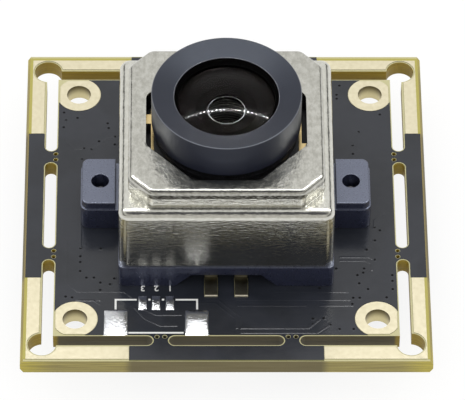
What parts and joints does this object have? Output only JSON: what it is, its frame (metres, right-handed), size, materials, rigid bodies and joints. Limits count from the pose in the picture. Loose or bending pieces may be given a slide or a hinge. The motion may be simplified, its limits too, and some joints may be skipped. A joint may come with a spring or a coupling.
{
  "type": "camera module",
  "caption": "Square board camera with a break-away rim, a screwed-on lens holder, a drawn metal can with an eight-sided opening, and a wide-angle autofocus lens",
  "frame": {"origin": "middle of the four plated mounting holes, on the front face of the board, on the optical axis", "axes": "+Z is the way the lens looks; +X runs across the board to the right as the lens faces the viewer from above, +Y runs away from the edge with the soldered pads"},
  "size_m": [0.038, 0.038, 0.0204],
  "materials": {
    "laminate": "bare woven glass-fibre laminate, routed edges",
    "solder_mask": "satin dark slate solder mask",
    "gold_plate": "immersion gold over copper, pale and slightly matt",
    "tin_solder": "bright tin, uneven",
    "holder_plastic": "dark moulded plastic, fine grain",
    "can_steel": "drawn nickel-silver sheet, dull orange-peel surface",
    "black_plastic": "black liquid-crystal polymer",
    "pin_brass": "plated brass strip",
    "magnet_nickel": "nickel-plated magnet",
    "spring_copper": "rolled copper alloy",
    "coil_copper": "enamelled copper wire",
    "lens_black": "black anodised, fine turned marks",
    "baffle_black": "matt black",
    "lens_glass": "polished, coated",
    "filter_glass": "polished blue-tinted filter",
    "sensor_ceramic": "image sensor package",
    "socket_plastic": "natural nylon",
    "screw_steel": "nickel-plated steel",
    "chip_plastic": "black moulding compound",
    "crystal_metal": "welded lid",
    "ferrite": "pressed ferrite",
    "capacitor_ceramic": "fired ceramic",
    "resistor_ceramic": "glazed ceramic"
  },
  "bodies": {
    "board_body": {"circuit_board": "laminate", "front_solder_mask": "solder_mask", "rear_solder_mask": "solder_mask", "corner_pads": "gold_plate", "plated_holes": "gold_plate", "solder_pads": "tin_solder", "pin_lands": "gold_plate", "lens_holder": "holder_plastic", "holder_screws": "screw_steel", "actuator_can": "can_steel", "actuator_base": "black_plastic", "terminal_pins": "pin_brass", "magnets": "magnet_nickel", "spring_frame": "black_plastic", "roof_spacer": "black_plastic", "upper_spring": "spring_copper", "lower_spring": "spring_copper", "ir_filter": "filter_glass", "image_sensor": "sensor_ceramic", "sensor_glass": "lens_glass", "wire_socket": "socket_plastic", "socket_contacts": "tin_solder", "socket_tabs": "tin_solder", "image_processor": "chip_plastic", "processor_leads": "tin_solder", "flash_memory": "chip_plastic", "memory_leads": "tin_solder", "regulators": "chip_plastic", "regulator_leads": "tin_solder", "crystal": "crystal_metal", "inductor": "ferrite", "chip_capacitors": "capacitor_ceramic", "chip_resistors": "resistor_ceramic", "chip_end_caps": "tin_solder"},
    "lens_body": {"lens_carrier": "black_plastic", "coil": "coil_copper", "lens_barrel": "lens_black", "front_retainer": "baffle_black", "front_lens": "lens_glass", "front_baffle": "baffle_black", "middle_lens": "lens_glass", "lens_spacer": "baffle_black", "inner_lens": "lens_glass", "rear_lens": "lens_glass", "rear_retainer": "baffle_black"}
  },
  "joints": [
    {"name": "focus_slide", "type": "slide", "parent": "board_body", "child": "lens_body", "axis": [0, 0, 1], "range_m": [0, 0.0004], "stiffness_N_per_m": 60, "springref_m": -0.0004, "deforming": ["upper_spring", "lower_spring"]}
  ]
}
